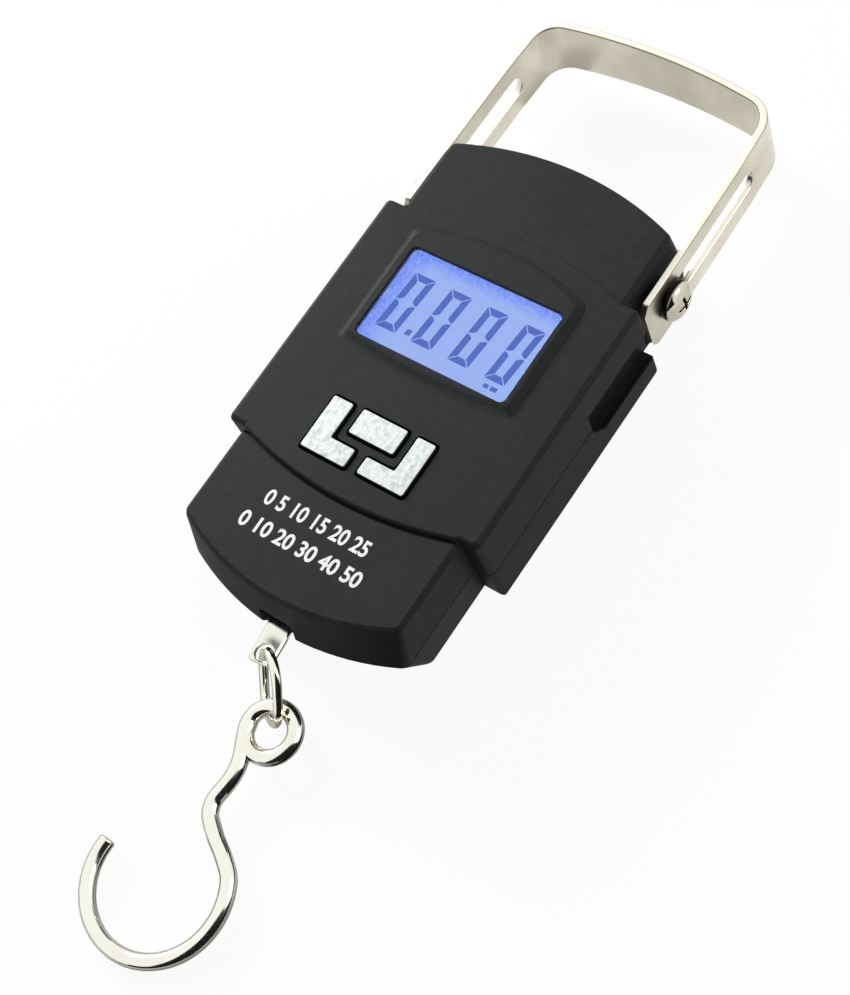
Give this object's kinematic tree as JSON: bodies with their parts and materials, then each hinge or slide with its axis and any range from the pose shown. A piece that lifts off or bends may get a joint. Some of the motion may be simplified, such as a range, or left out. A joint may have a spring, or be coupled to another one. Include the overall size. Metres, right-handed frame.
{
  "type": "digital hanging scale",
  "caption": "Digital hanging scale: flat case with lit display and press buttons, a sliding strap handle at one end and an open hook on a link at the other.",
  "frame": {"origin": "centre of the wide middle's flat back, on the battery door's outer face", "axes": "+X across the display to its right, +Y towards the handle, +Z out of the display"},
  "size_m": [0.0712, 0.2264, 0.026],
  "materials": {
    "shell": "fine matte texture",
    "lens": "clear window",
    "display": "lit blue display with dark segments",
    "backlight": "blue light guide",
    "connector": "striped elastomer strip",
    "board": "green lacquer",
    "switch": "moulded",
    "button": "silver paint",
    "cell_metal": "milled",
    "bright_steel": "nickel plated strip",
    "chrome_wire": "polished plating",
    "screw": "plated",
    "dry_cell": "plain printed sleeve",
    "contact": "nickel plated"
  },
  "bodies": {
    "case": {"back_shell": "shell", "front_shell": "shell", "display_lens": "lens", "display_glass": "display", "backlight_panel": "backlight", "display_connector": "connector", "circuit_board": "board", "key_switch_left": "switch", "key_switch_centre": "switch", "key_switch_right": "switch", "load_cell": "cell_metal", "handle_yoke": "bright_steel", "handle_screw_left": "screw", "handle_screw_right": "screw", "case_screw_1": "screw", "case_screw_2": "screw", "case_screw_3": "screw", "case_screw_4": "screw", "yoke_bolt_1": "screw", "yoke_bolt_2": "screw", "plate_pin": "screw", "handle_spacer_left": "screw", "handle_spacer_right": "screw", "cell_left": "dry_cell", "cell_right": "dry_cell", "contact_plate_left": "contact", "contact_plate_right": "contact", "contact_spring_left": "contact", "contact_spring_right": "contact"},
    "handle": {"handle": "bright_steel"},
    "eye_plate": {"eye_plate": "chrome_wire"},
    "link": {"link": "chrome_wire"},
    "hook": {"hook": "chrome_wire"},
    "battery_door": {"battery_door": "shell"},
    "button_left": {"button_left": "button"},
    "button_centre": {"button_centre": "button"},
    "button_right": {"button_right": "button"}
  },
  "joints": [
    {"name": "handle_slide", "type": "slide", "parent": "case", "child": "handle", "axis": [0, -1, 0], "range_m": [0, 0.03]},
    {"name": "eye_plate_turn", "type": "hinge", "parent": "case", "child": "eye_plate", "pos_m": [-0.0013, -0.057, 0.0107], "axis": [0, 0, 1], "range_deg": [-8, 10]},
    {"name": "link_swing", "type": "hinge", "parent": "eye_plate", "child": "link", "pos_m": [-0.0002, -0.0677, 0.0108], "axis": [0.386, 0.267, 0.883], "range_deg": [-8, 8]},
    {"name": "hook_swing", "type": "hinge", "parent": "link", "child": "hook", "pos_m": [0.0049, -0.0759, 0.00515], "axis": [-1, 0, 0], "range_deg": [0, 30]},
    {"name": "battery_door_hinge", "type": "hinge", "parent": "case", "child": "battery_door", "pos_m": [0, -0.0273, 0.00075], "axis": [-1, 0, 0], "range_deg": [0, 70]},
    {"name": "press_left", "type": "slide", "parent": "case", "child": "button_left", "axis": [0, 0, -1], "range_m": [0, 0.0004], "stiffness_N_per_m": 1500},
    {"name": "press_centre", "type": "slide", "parent": "case", "child": "button_centre", "axis": [0, 0, -1], "range_m": [0, 0.0004], "stiffness_N_per_m": 1500},
    {"name": "press_right", "type": "slide", "parent": "case", "child": "button_right", "axis": [0, 0, -1], "range_m": [0, 0.0004], "stiffness_N_per_m": 1500}
  ]
}
